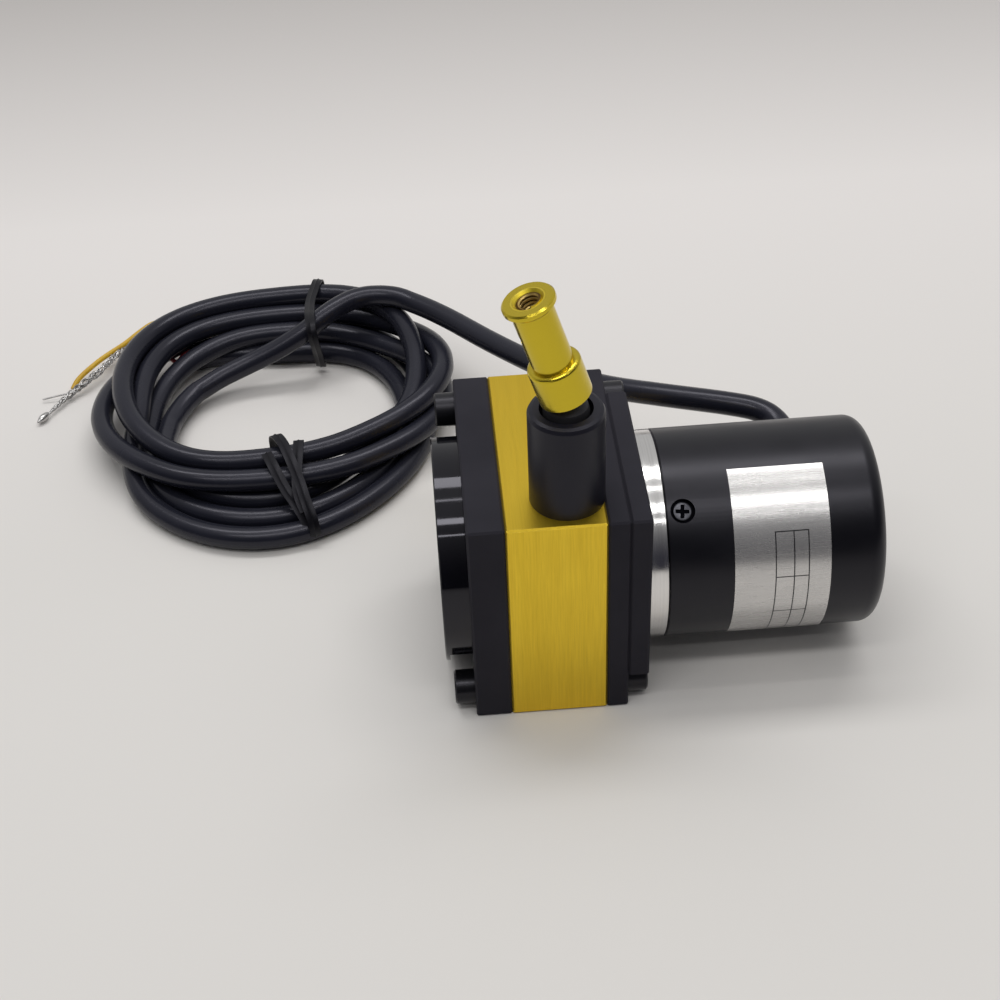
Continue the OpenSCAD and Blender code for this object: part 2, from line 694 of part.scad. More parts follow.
module wire_fitting() {
    cove = 1.2;
    tap_foot = fit_l - (sink_r - tap_r) - tap_l;
    color("#d9b92c") translate(pivot) rotate([0, 0, 180 + fit_turn]) rotate([0, fit_lean, 0])
        difference() {
            rotate_extrude() polygon(concat(
                [[1.9, 0], [collar_r - 0.4, 0], [collar_r, 0.4]],
                [for (a = [0:15:90]) [collar_r - collar_round + collar_round * cos(a),
                    collar_l - collar_round + collar_round * sin(a)]],
                [[neck_r, collar_l]],
                [for (a = [0:15:60]) [neck_r + cove - cove * cos(a),
                    fit_l - head_w - cove + cove * sin(a)]],
                [[head_r - 0.3, fit_l - head_w], [head_r, fit_l - head_w + 0.3], [head_r, fit_l - 0.4],
                 [head_r - 0.4, fit_l], [sink_r, fit_l], [tap_r, fit_l - sink_r + tap_r],
                 [tap_r, tap_foot], [relief_r, tap_foot - 0.3], [relief_r, web_t], [1.2, web_t],
                 [1.2, web_t - 0.4]]));
            translate([0, 0, fit_l - cross_hole_drop]) rotate([0, 90, 0])
                cylinder(h = 2 * neck_r, r = cross_hole_r);
        }
}

// ---- Cable ----

module cable_lead() {
    color("#1e1e20") swept(lead_points, cable_d / 2, 10);
}

module cable_coil() {
    in_r = coil_r - coil_w;
    c = 3;
    color("#1e1e20") translate([coil_at[0], coil_at[1], 0]) rotate_extrude($fn = 72) polygon([
        [in_r + c, 0], [coil_r - c, 0], [coil_r, c], [coil_r, coil_h - c], [coil_r - c, coil_h],
        [in_r + c, coil_h], [in_r, coil_h - c], [in_r, c]]);
}

// Twist tie over the bundle of turns, standing on the table at both feet
module coil_tie(a) {
    in_r = coil_r - coil_w - 0.05;
    color("#151515") translate([coil_at[0], coil_at[1], 0]) rotate([0, 0, a])
        translate([0, tie_w / 2, 0]) rotate([90, 0, 0]) linear_extrude(tie_w) polygon([
            [in_r - tie_t, 0], [in_r, 0], [in_r, coil_h], [coil_r, coil_h], [coil_r, 0],
            [coil_r + tie_t, 0], [coil_r + tie_t, coil_h + tie_t], [in_r - tie_t, coil_h + tie_t]]);
}

module coil_tie_back() {
    coil_tie(tie_back_a);
}

module coil_tie_front() {
    coil_tie(tie_front_a);
}

module core_yellow() {
    color("gold") swept(yellow_points, core_r, 8);
}

module core_screen() {
    color("silver") swept(screen_points, screen_r, 8);
}

drum_block();
spring_plate();
bearing_plate();
encoder_flange();
spring_case();
spring_cover();
cover_screws();
tie_screws_spring_side();
tie_screws_encoder_side();
flange_screws();
wire_outlet();
guide_bush();
bearing_spring_side();
bearing_encoder_side();
power_spring();
encoder_base();
base_screws();
encoder_bearing();
encoder_board();
board_posts();
encoder_cap();
cap_screws();
cable_grommet();
foil_label();
wire_drum();
drum_shaft();
shaft_spacers();
spring_arbor();
wound_wire();
clamp_collar();
encoder_shaft();
magnet();
wire_stop();
wire_bead();
wire_run();
wire_fitting();
cable_lead();
cable_coil();
coil_tie_back();
coil_tie_front();
core_yellow();
core_screen();
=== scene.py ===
"""Draw wire encoder: camera, cable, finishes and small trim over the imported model."""

import math

import bmesh
import bpy
import numpy as np
from mathutils import Matrix, Vector


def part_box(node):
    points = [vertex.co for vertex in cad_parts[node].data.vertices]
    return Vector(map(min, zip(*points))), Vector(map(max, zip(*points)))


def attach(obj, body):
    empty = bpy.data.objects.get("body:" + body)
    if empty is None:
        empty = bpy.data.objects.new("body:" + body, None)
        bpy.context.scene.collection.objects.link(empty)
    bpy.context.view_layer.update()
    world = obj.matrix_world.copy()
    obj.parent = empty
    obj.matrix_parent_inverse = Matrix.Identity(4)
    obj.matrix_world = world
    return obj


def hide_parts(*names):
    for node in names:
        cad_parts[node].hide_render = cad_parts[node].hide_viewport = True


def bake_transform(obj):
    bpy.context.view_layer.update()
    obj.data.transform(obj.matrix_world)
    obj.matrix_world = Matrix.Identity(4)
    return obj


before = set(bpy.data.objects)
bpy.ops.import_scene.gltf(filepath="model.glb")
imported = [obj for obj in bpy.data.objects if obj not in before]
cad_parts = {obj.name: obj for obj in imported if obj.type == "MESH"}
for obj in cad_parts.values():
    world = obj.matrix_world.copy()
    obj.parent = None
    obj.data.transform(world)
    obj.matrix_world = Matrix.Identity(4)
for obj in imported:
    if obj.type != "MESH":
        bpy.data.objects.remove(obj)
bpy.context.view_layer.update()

MM = 0.001

# ---- Places taken from the model -------------------------------------------------------

cap_low, cap_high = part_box("encoder_cap")
label_low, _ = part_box("foil_label")
grommet_low, grommet_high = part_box("cable_grommet")

AXIS_Z = (cap_low[2] + cap_high[2]) / 2

# ---- Camera ----------------------------------------------------------------------------

LENS = 61.07
SENSOR = 36.0
CAMERA_AT = Vector((-51.6, -316.6, 311.5)) * MM
CAMERA_AIM = Vector((-36.75, 16.77, 30.0)) * MM
CAMERA_ROLL = math.radians(-2.55)


def place_camera():
    lens = bpy.data.cameras.new("camera")
    lens.lens = LENS
    lens.sensor_width = SENSOR
    camera = bpy.data.objects.new("camera", lens)
    bpy.context.scene.collection.objects.link(camera)
    aim = (CAMERA_AIM - CAMERA_AT).to_track_quat("-Z", "Y").to_matrix().to_4x4()
    camera.matrix_world = (
        Matrix.Translation(CAMERA_AT) @ aim @ Matrix.Rotation(CAMERA_ROLL, 4, "Z")
    )
    bpy.context.scene.camera = camera


# ---- Cable -----------------------------------------------------------------------------

CABLE_D = 6.4 * MM
GROMMET_LEAN = math.radians(9)
GROMMET_REACH = 29.8 * MM
CABLE_EXIT = Vector(
    (
        (grommet_low[0] + grommet_high[0]) / 2,
        GROMMET_REACH * math.cos(GROMMET_LEAN),
        AXIS_Z + GROMMET_REACH * math.sin(GROMMET_LEAN),
    )
)

# The lead from the grommet to the coil, in millimetres, laid as in the model
LEAD = [
    (38.5, 33.5, 35.2), (36.5, 37, 35.7), (33, 39.8, 36), (28, 42.2, 36), (22, 45, 35.6),
    (15, 48.5, 34.8), (7, 53, 33.6), (-1, 58.5, 31.8), (-9, 66, 29.4), (-18, 76.5, 26.7),
    (-27, 88.5, 24.5), (-36, 100.5, 23), (-45, 112, 22.3), (-53, 120.5, 22),
    (-60, 126, 21.8), (-67.5, 128.3, 21.4), (-75, 126.8, 21.4), (-82.5, 122.5, 20),
    (-90.5, 118.5, 16.2), (-99.5, 116, 12), (-109, 114, 8.5), (-118.5, 110.5, 6),
    (-126, 105, 4.5),
]

# Middle of the coil on the table. Each turn gives radius and height at the left, then at
# every eighth of a turn by way of the front, the right and the back
COIL_AT = (-99.5, 92.5)
TURNS = [
    [(33, 3.2), (41, 4.5), (38.5, 3.2), (36, 6), (44, 10), (52, 15), (49, 14), (50.5, 14)],
    [(43.2, 14.5), (36.5, 12.5), (30, 12), (33.5, 12), (48.5, 15.5), (49, 12), (44.5, 10.5),
     (46, 10.5)],
    [(38.5, 8.5), (46, 3.2), (51.5, 3.2), (46.5, 3.2), (45, 3.2), (49, 5), (49.5, 7), (48.5, 7.5)],
    [(50, 8.5), (42.3, 9), (36.5, 9.6), (40.5, 9.5), (50.5, 9), (44.5, 6), (41.5, 5), (41, 4)],
    [(39, 3.2), (44, 3.2), (45, 3.2), (41.5, 3.2), (40, 3.2), (40, 3.2), (35, 3.2), (43, 3.2)],
]
EIGHTH = 45
COIL_STEP = 7.5
COIL_SWEEP = 4 * 360 + 307.5

# Points of the lead that stay where they are laid, and how near along the cable two points
# may be before they count as strands that can touch
HELD_POINTS = 30
NEAR_ALONG = 6
STRAND_GAP = 0.1


def between(keys, t):
    """Value of a smooth run through the keys at t steps from the first."""
    i = min(int(t), len(keys) - 1)
    f = t - i
    a, b, c, d = (
        np.array(keys[min(max(k, 0), len(keys) - 1)], float) for k in (i - 1, i, i + 1, i + 2)
    )
    return 0.5 * (2 * b + (c - a) * f + (2 * a - 5 * b + 4 * c - d) * f * f
                  + (3 * b - a - 3 * c + d) * f ** 3)


def coil_points():
    """Points of the five turns in millimetres, from where the lead comes in."""
    keys = [key for turn in TURNS for key in turn]
    points = []
    for i in range(int(COIL_SWEEP / COIL_STEP) + 1):
        radius, height = between(keys, i * COIL_STEP / EIGHTH)
        angle = math.radians(180 + i * COIL_STEP)
        points.append(
            (COIL_AT[0] + radius * math.cos(angle), COIL_AT[1] + radius * math.sin(angle), height)
        )
    return points


def settle(points, held, gap, rounds=400):
    """Push strands that press into each other apart, and keep them on the table."""
    home = np.array(points, float)
    placed = home.copy()
    order = np.arange(len(home))
    apart = np.abs(order[:, None] - order[None]) > NEAR_ALONG
    for _ in range(rounds):
        offset = placed[:, None] - placed[None]
        distance = np.linalg.norm(offset, axis=2) + 1e-9
        push = np.where(apart & (distance < gap), (gap - distance) / 2, 0)
        moved = placed + 0.5 * (offset / distance[..., None] * push[..., None]).sum(1) - home
        for _ in range(2):
            moved[1:-1] = (moved[:-2] + 2 * moved[1:-1] + moved[2:]) / 4
        # drawn back a little each round, so the given way is kept where nothing presses
        placed = home + 0.995 * moved
        placed[:, 2] = np.maximum(placed[:, 2], gap / 2)
        placed[:held] = home[:held]
    return placed


def cable_line():
    """Centreline of the whole cable in metres, from the grommet to its bare end."""
    keys = [tuple(CABLE_EXIT / MM)] + LEAD
    lead = [between(keys, t / 2) for t in range(2 * len(keys) - 1)]
    line = np.vstack([lead, coil_points()])
    return settle(line, held=HELD_POINTS, gap=CABLE_D / MM + STRAND_GAP) * MM


def cord_curve(name, points, radius, rings=3, smooth=True):
    """Round cord along points in metres, closed at both ends."""
    curve = bpy.data.curves.new(name, "CURVE")
    curve.dimensions = "3D"
    curve.resolution_u = 3 if smooth else 1
    curve.bevel_depth = radius
    curve.bevel_resolution = rings
    curve.use_fill_caps = True
    spline = curve.splines.new("BEZIER")
    spline.bezier_points.add(len(points) - 1)
    for knot, point in zip(spline.bezier_points, points):
        knot.co = point
        knot.handle_left_type = knot.handle_right_type = "AUTO" if smooth else "VECTOR"
    obj = bpy.data.objects.new(name, curve)
    bpy.context.scene.collection.objects.link(obj)
    return obj


# Bare ends of the cores and the screen, in millimetres, laid one by one
CORE_YELLOW = [
    (-129.5, 132, 3), (-130, 136.5, 3.4), (-132, 143, 4.5), (-136, 147, 5.6),
    (-140.5, 146.4, 5.6), (-144.5, 143, 5), (-149, 137.5, 4.5), (-155, 131.5, 4),
    (-159.5, 126, 3.4), (-162.4, 122.4, 2.4), (-163.8, 119.5, 1.2),
]
CORE_RED = [
    (-129.5, 132, 3), (-132, 132, 3.4), (-133.4, 129, 4), (-131.6, 126, 4), (-129.5, 128, 5.2),
    (-127.5, 132, 6.2), (-127, 136, 4.4), (-129, 139, 2.4),
]
SCREEN = [
    (-129.5, 132, 3), (-134, 134, 3), (-140, 137, 2.5), (-147, 138, 3),
    (-151, 134, 3.5), (-154, 127, 4), (-157.5, 121.5, 3.8), (-163, 116, 2.5), (-167, 111, 2),
    (-170, 106, 1.6), (-172, 103.6, 1.5),
]
STRAY_STRAND = [(-158, 121, 3.4), (-163.8, 116.2, 2.5), (-168.6, 115.4, 1.8), (-172.6, 115, 1.2)]


def swell(points, steps):
    """A smooth run through given points, as metres."""
    return np.array([between(points, t / steps) for t in range(steps * (len(points) - 1) + 1)]) * MM


def braid(name, spine, strands, spread, radius, turn, finish):
    """Loose round strands laid crosswise round a spine and gathered at its far end."""
    made = []
    away = np.gradient(spine, axis=0)
    away /= np.linalg.norm(away, axis=1)[:, None]
    side = np.cross(away, [0, 0, 1])
    side /= np.linalg.norm(side, axis=1)[:, None]
    rise = np.cross(side, away)
    run = np.concatenate([[0], np.cumsum(np.linalg.norm(np.diff(spine, axis=0), axis=1))])
    gather = np.clip((run[-1] - run) / (2 * turn), 0.3, 1.0)
    for k in range(strands):
        way = 1 if k % 2 else -1
        angle = way * run / turn * 2 * math.pi + 2 * math.pi * k / strands
        angle += 0.6 * np.sin(run / turn * 2.3 + 1.9 * k)
        out = spread * gather * (0.85 + 0.25 * np.sin(run / turn * 4.1 + 2.6 * k))
        path = spine + out[:, None] * (side * np.cos(angle)[:, None] + rise * np.sin(angle)[:, None])
        made.append(as_mesh(cord_curve(f"{name}_{k}", path, radius, rings=1)))
    return join(name, made, finish)


def only_none():
    """Deselect everything, so an operator takes just the primitive that comes next."""
    bpy.ops.object.select_all(action="DESELECT")


def only(*objs):
    """Deselect everything, then select these pieces and make the first active."""
    bpy.ops.object.select_all(action="DESELECT")
    for obj in objs:
        obj.select_set(True)
    bpy.context.view_layer.objects.active = objs[0]


def as_mesh(obj):
    """Turn a curve into its mesh."""
    only(obj)
    bpy.ops.object.convert(target="MESH")
    return bpy.context.object


def join(name, objs, finish):
    """Make one piece of these objects, under one name and one finish."""
    only(*objs)
    if len(objs) > 1:
        bpy.ops.object.join()
    obj = bpy.context.object
    obj.name = obj.data.name = name
    obj.data.materials.clear()
    obj.data.materials.append(finish)
    return obj


def settle_place(obj):
    """Put the piece's place into its mesh and smooth its round faces."""
    only(obj)
    bpy.ops.object.transform_apply(location=True, rotation=True, scale=True)
    bpy.ops.object.shade_smooth_by_angle(angle=math.radians(35))
    return obj


def apply(obj, kind, **settings):
    """Add a modifier, set it and apply it."""
    only(obj)
    made = obj.modifiers.new(kind.lower(), kind)
    for key, value in settings.items():
        setattr(made, key, value)
    bpy.ops.object.modifier_apply(modifier=made.name)
    return obj


def done(obj, body, slot, *stands_for):
    """Put the finished piece on its body, in place of the nodes it stands for. Its slot is not used."""
    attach(obj, body)
    if stands_for:
        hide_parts(*stands_for)
    return obj


# ---- Node groups -----------------------------------------------------------------------


class Nodes:
    """Short hand for wiring one node tree."""

    def __init__(self, tree):
        self.tree = tree

    def add(self, kind, **settings):
        node = self.tree.nodes.new(kind)
        for key, value in settings.items():
            setattr(node, key, value)
        return node

    def wire(self, start, end):
        self.tree.links.new(start, end)

    def maths(self, operation, a, b=None, c=None, clamp=False):
        node = self.add("ShaderNodeMath", operation=operation, use_clamp=clamp)
        for socket, value in zip(node.inputs, (a, b, c)):
            self.give(socket, value)
        return node.outputs[0]

    def give(self, socket, value):
        if isinstance(value, bpy.types.NodeSocket):
            self.wire(value, socket)
        elif value is not None:
            socket.default_value = value

    def span(self, value, low, high, to_low=0.0, to_high=1.0):
        node = self.add("ShaderNodeMapRange")
        for socket, given in zip(node.inputs, (value, low, high, to_low, to_high)):
            self.give(socket, given)
        return node.outputs[0]

    def mix(self, amount, a, b):
        node = self.add("ShaderNodeMix", data_type="RGBA")
        self.give(node.inputs[0], amount)
        self.give(node.inputs[6], a)
        self.give(node.inputs[7], b)
        return node.outputs[2]

    def noise(self, vector, scale, detail=3.0, rough=0.5):
        node = self.add("ShaderNodeTexNoise")
        self.give(node.inputs["Vector"], vector)
        self.give(node.inputs["Scale"], scale)
        self.give(node.inputs["Detail"], detail)
        self.give(node.inputs["Roughness"], rough)
        return node.outputs[0]

    def place(self, vector, location=(0, 0, 0), scale=(1, 1, 1)):
        node = self.add("ShaderNodeMapping")
        self.wire(vector, node.inputs["Vector"])
        node.inputs["Location"].default_value = location
        node.inputs["Scale"].default_value = scale
        return node.outputs[0]


def new_group(name, inputs, outputs):
    group = bpy.data.node_groups.new(name, "ShaderNodeTree")
    for side, sockets in (("INPUT", inputs), ("OUTPUT", outputs)):
        for label, kind, *default in sockets:
            socket = group.interface.new_socket(label, in_out=side, socket_type="NodeSocket" + kind)
            if default:
                socket.default_value = default[0]
    nodes = Nodes(group)
    return group, nodes, nodes.add("NodeGroupInput").outputs, nodes.add("NodeGroupOutput").inputs


def machined_lines_group():
    """Fine lines left by a cutter or a brush: the vector says along which way they run."""
    group, nodes, given, out = new_group(
        "machined_lines",
        [("Vector", "Vector"), ("Spacing", "Float", 3000.0), ("Clumps", "Float", 300.0)],
        [("Lines", "Float"), ("Bands", "Float")],
    )
    fine = nodes.noise(given["Vector"], given["Spacing"], 4, 0.65)
    broad = nodes.noise(given["Vector"], given["Clumps"], 3, 0.6)
    nodes.wire(nodes.span(fine, 0.3, 0.7), out["Lines"])
    nodes.wire(nodes.span(broad, 0.3, 0.7), out["Bands"])
    return group


def cast_grain_group():
    """Fine even grain with faint patches, as on an etched or moulded skin."""
    group, nodes, given, out = new_group(
        "skin_grain",
        [("Vector", "Vector"), ("Grain", "Float", 2500.0), ("Patch", "Float", 60.0)],
        [("Grain", "Float"), ("Patch", "Float")],
    )
    nodes.wire(nodes.noise(given["Vector"], given["Grain"], 2, 0.6), out["Grain"])
    nodes.wire(nodes.span(nodes.noise(given["Vector"], given["Patch"], 3), 0.3, 0.7), out["Patch"])
    return group


def dust_group():
    """A few pale specks and a thin film that gathers on faces looking up."""
    group, nodes, given, out = new_group(
        "light_dust",
        [("Vector", "Vector"), ("Normal", "Vector"), ("Specks", "Float", 0.5)],
        [("Dust", "Float")],
    )
    split = nodes.add("ShaderNodeSeparateXYZ")
    nodes.wire(given["Normal"], split.inputs[0])
    up = nodes.span(split.outputs["Z"], 0.2, 1.0)
    speck = nodes.add("ShaderNodeTexVoronoi")
    nodes.wire(given["Vector"], speck.inputs["Vector"])
    speck.inputs["Scale"].default_value = 420.0
    dots = nodes.span(speck.outputs["Distance"], 0.03, 0.1, 1.0, 0.0)
    rare = nodes.span(nodes.noise(given["Vector"], 130.0, 2), 0.62, 0.7)
    marks = nodes.maths("MULTIPLY", nodes.maths("MULTIPLY", dots, rare), given["Specks"])
    film = nodes.maths("MULTIPLY", nodes.noise(given["Vector"], 45.0, 4), up)
    nodes.wire(nodes.maths("ADD", marks, nodes.maths("MULTIPLY", film, 0.12), clamp=True), out["Dust"])
    return group


def edge_wear_group():
    """Where the skin rubs thin: sharp edges found by rounding the normal a little."""
    group, nodes, given, out = new_group(
        "edge_wear",
        [("Vector", "Vector"), ("Reach", "Float", 0.0004)],
        [("Wear", "Float")],
    )
    bevel = nodes.add("ShaderNodeBevel", samples=4)
    nodes.wire(given["Reach"], bevel.inputs["Radius"])
    face = nodes.add("ShaderNodeNewGeometry")
    dot = nodes.add("ShaderNodeVectorMath", operation="DOT_PRODUCT")
    nodes.wire(bevel.outputs[0], dot.inputs[0])
    nodes.wire(face.outputs["Normal"], dot.inputs[1])
    edge = nodes.span(dot.outputs["Value"], 0.995, 0.86)
    patchy = nodes.span(nodes.noise(given["Vector"], 260.0, 4, 0.7), 0.42, 0.62)
    nodes.wire(nodes.maths("MULTIPLY", edge, patchy), out["Wear"])
    return group


LINES = machined_lines_group()
GRAIN = cast_grain_group()
DUST = dust_group()
EDGES = edge_wear_group()


# ---- Finishes --------------------------------------------------------------------------


def linear(r, g, b):
    """A colour given as it looks on a screen, 0 to 255, as the shader wants it."""
    return tuple(
        v / 12.92 if v <= 0.04045 else ((v + 0.055) / 1.055) ** 2.4
        for v in (r / 255, g / 255, b / 255)
    ) + (1.0,)


# the sheen on black skins and jacket is a little cool, like bare daylight
COOL_SHEEN = (0.92, 0.90, 1.0, 1.0)


class Finish(Nodes):
    """One material: a Principled BSDF with plain numbers and the groups wired to it."""

    def __init__(self, name, **plain):
        self.material = bpy.data.materials.new(name + "_finish")
        self.material.use_nodes = True
        super().__init__(self.material.node_tree)
        self.shader = self.tree.nodes["Principled BSDF"]
        for key, value in plain.items():
            self.shader.inputs[key.replace("_", " ")].default_value = value
        self.where = self.add("ShaderNodeTexCoord").outputs["Object"]
        self.face = self.add("ShaderNodeNewGeometry").outputs["Normal"]

    def group(self, group, **given):
        node = self.add("ShaderNodeGroup", node_tree=group)
        for socket in node.inputs:
            if socket.name == "Vector":
                self.wire(given.get("Vector", self.where), socket)
            elif socket.name == "Normal":
                self.wire(self.face, socket)
            elif socket.name in given:
                self.give(socket, given[socket.name])
        return node.outputs

    def colour(self, socket):
        self.wire(socket, self.shader.inputs["Base Color"])
        return self

    def roughness(self, socket):
        self.wire(socket, self.shader.inputs["Roughness"])
        return self

    def bump(self, height, depth, strength):
        node = self.add("ShaderNodeBump")
        node.inputs["Strength"].default_value = strength
        node.inputs["Distance"].default_value = depth
        self.wire(height, node.inputs["Height"])
        self.wire(node.outputs[0], self.shader.inputs["Normal"])
        return self

    def round_the_axis(self):
        """Places from the drum's axis, and the distance from it."""
        split = self.add("ShaderNodeSeparateXYZ")
        self.wire(self.place(self.where, (0, 0, -AXIS_Z)), split.inputs[0])
        square = [self.maths("MULTIPLY", split.outputs[a], split.outputs[a]) for a in "YZ"]
        return split.outputs, self.maths("SQRT", self.maths("ADD", *square))


def gold_brushed():
    """Brushed, then anodised gold: streaks run up the front face and along the top. The upright faces
    are painted lighter than the faces lying flat: painted light.
    """
    f = Finish("gold_anodised", Metallic=0.95, Roughness=0.36, Specular_IOR_Level=0.3)
    upright = f.place(f.where, scale=(1.0, 0.55, 0.03))
    lying = f.place(f.where, scale=(1.0, 0.03, 0.55))
    split = f.add("ShaderNodeSeparateXYZ")
    f.wire(f.face, split.inputs[0])
    top = f.span(f.maths("ABSOLUTE", split.outputs["Z"]), 0.4, 0.6)
    run = f.mix(top, upright, lying)
    lines = f.group(LINES, Vector=run, Spacing=2600.0, Clumps=420.0)
    edges = f.group(EDGES, Reach=0.0003)
    dust = f.group(DUST, Specks=0.35)
    # painted light: upright faces take the lighter tone of each pair, faces lying flat (top and bottom)
    # the darker one
    pale = f.mix(top, linear(242, 208, 66), linear(224, 191, 58))
    deep = f.mix(top, linear(230, 195, 56), linear(212, 178, 48))
    streaked = f.mix(f.maths("MULTIPLY", lines["Bands"], 0.55), pale, deep)
    fine = f.mix(f.maths("MULTIPLY", lines["Lines"], 0.30), streaked, linear(182, 148, 36))
    worn = f.mix(f.maths("MULTIPLY", edges["Wear"], 0.5), fine, linear(226, 200, 96))
    f.colour(f.mix(f.maths("MULTIPLY", dust["Dust"], 0.25), worn, linear(220, 205, 150)))
    f.roughness(f.span(lines["Lines"], 0, 1, 0.3, 0.42))
    return f.bump(lines["Lines"], 0.000012, 0.5).material


def gold_turned():
    """Bright turned gold of the wire end, dull in its mouth; in its tapped hole the thread carries
    painted shade, dark brown down in the grooves, and painted light, pale brown on the crests.
    """
    f = Finish("gold_bright", Metallic=0.9, Roughness=0.22)
    # the wire end leans, so its lines and its hole follow its own axis
    axis = (FITTING_TOP - FITTING_PIVOT).normalized()
    centred = f.place(f.where, tuple(-FITTING_PIVOT))
    dot = f.add("ShaderNodeVectorMath", operation="DOT_PRODUCT")
    cross = f.add("ShaderNodeVectorMath", operation="CROSS_PRODUCT")
    for product in (dot, cross):
        f.wire(centred, product.inputs[0])
        product.inputs[1].default_value = axis
    far = f.add("ShaderNodeVectorMath", operation="LENGTH")
    f.wire(cross.outputs[0], far.inputs[0])
    # the thread's colour, used within THREAD_R + 0.25 mm of the axis, is painted shade in its grooves
    # and painted light on its crests
    outside = f.span(far.outputs["Value"], (THREAD_R + 0.25) * MM, (THREAD_R + 0.6) * MM)
    crest = f.span(far.outputs["Value"], (THREAD_R - 0.02) * MM, (THREAD_R - 0.3) * MM)
    mouth = f.span(far.outputs["Value"], (SINK_R - 0.2) * MM, SINK_R * MM, 0.42, 0.1)
    along = f.add("ShaderNodeCombineXYZ")
    f.wire(dot.outputs["Value"], along.inputs["X"])
    lines = f.group(LINES, Vector=along.outputs[0], Spacing=3600.0, Clumps=500.0)
    edges = f.group(EDGES, Reach=0.0004)
    dust = f.group(DUST, Specks=0.3)
    cut = f.maths("MULTIPLY", lines["Lines"], 0.35)
    tone = f.mix(cut, linear(213, 190, 52), linear(184, 160, 37))
    worn = f.mix(f.maths("MULTIPLY", edges["Wear"], 0.45), tone, linear(240, 224, 130))
    dusty = f.mix(f.maths("MULTIPLY", dust["Dust"], 0.3), worn, linear(225, 220, 205))
    # painted shade: dark brown in the grooves; painted light: pale brown on the crests
    thread = f.mix(crest, linear(84, 58, 14), linear(206, 178, 112))
    f.colour(f.mix(outside, thread, dusty))
    f.roughness(f.maths("MAXIMUM", f.span(lines["Lines"], 0, 1, 0.15, 0.25), mouth))
    return f.bump(lines["Lines"], 0.000004, 0.3).material


def black_skin(name, tone, worn_tone, rough, grain, depth, dusty=0.35, wear=0.35, specular=0.5,
               reach=0.0003, bored=False):
    """Black anodised or painted skin with fine grain, thin worn edges and a little dust."""
    f = Finish(name, Specular_IOR_Level=specular, Specular_Tint=COOL_SHEEN)
    skin = f.group(GRAIN, Grain=grain, Patch=55.0)
    edges = f.group(EDGES, Reach=reach)
    dust = f.group(DUST, Specks=0.5)
    base = linear(*tone)
    light = linear(*(min(255, c + 9) for c in tone))
    patch = f.mix(f.maths("MULTIPLY", skin["Patch"], 0.7), base, light)
    worn = f.mix(f.maths("MULTIPLY", edges["Wear"], wear), patch, linear(*worn_tone))
    dusted = f.mix(f.maths("MULTIPLY", dust["Dust"], dusty), worn, linear(150, 148, 146))
    if bored:
        # painted shade: black, with neither light nor sheen, below the cap's outer skin short of
        # SKIRT_END, that is down in its screw holes and inside its open end
        split, radius = f.round_the_axis()
        outside = f.maths("MAXIMUM", f.span(radius, (CAP_OUT - 0.28) * MM, (CAP_OUT - 0.1) * MM),
                          f.span(split["X"], SKIRT_END * MM, (SKIRT_END + 0.5) * MM))
        dusted = f.mix(outside, linear(4, 4, 6), dusted)
        f.wire(f.span(outside, 0, 1, 1.0, 0.0), f.shader.inputs["Metallic"])
    f.colour(dusted)
    f.roughness(f.span(skin["Patch"], 0, 1, rough - 0.05, rough + 0.05))
    return f.bump(skin["Grain"], depth, 0.5).material


def turned_metal(name, tone, dark, rough, spacing=3000.0, tint=0.4):
    """Bare metal with fine turning lines round the drum's axis."""
    f = Finish(name, Metallic=1.0)
    split, radius = f.round_the_axis()
    turning = f.add("ShaderNodeCombineXYZ")
    f.wire(split["X"], turning.inputs["X"])
    f.wire(radius, turning.inputs["Y"])
    lines = f.group(LINES, Vector=turning.outputs[0], Spacing=spacing, Clumps=spacing / 7)
    edges = f.group(EDGES, Reach=0.00025)
    skin = f.group(GRAIN, Grain=1800.0, Patch=90.0)
    tone = f.mix(f.maths("MULTIPLY", lines["Lines"], tint), linear(*tone), linear(*dark))
    f.colour(f.mix(f.maths("MULTIPLY", skin["Patch"], 0.2), tone, linear(*dark)))
    f.roughness(f.span(lines["Bands"], 0, 1, rough - 0.06, rough + 0.08))
    return f.bump(lines["Lines"], 0.00002, 0.35).material


def jacket():
    """Black cable jacket: smooth, a little waxy, with faint scuffs."""
    f = Finish("cable_jacket", Roughness=0.24, Specular_IOR_Level=0.36, Specular_Tint=COOL_SHEEN)
    skin = f.group(GRAIN, Grain=1600.0, Patch=40.0)
    dust = f.group(DUST, Specks=0.8)
    scuff = f.span(f.noise(f.where, 900.0, 5, 0.8), 0.6, 0.75)
    tone = f.mix(f.maths("MULTIPLY", skin["Patch"], 0.8), linear(25, 26, 35), linear(32, 33, 43))
    rubbed = f.mix(f.maths("MULTIPLY", scuff, 0.18), tone, linear(70, 70, 80))
    f.colour(f.mix(f.maths("MULTIPLY", dust["Dust"], 0.25), rubbed, linear(140, 140, 146)))
    f.roughness(f.span(skin["Patch"], 0, 1, 0.22, 0.31))
    return f.bump(skin["Grain"], 0.00002, 0.4).material


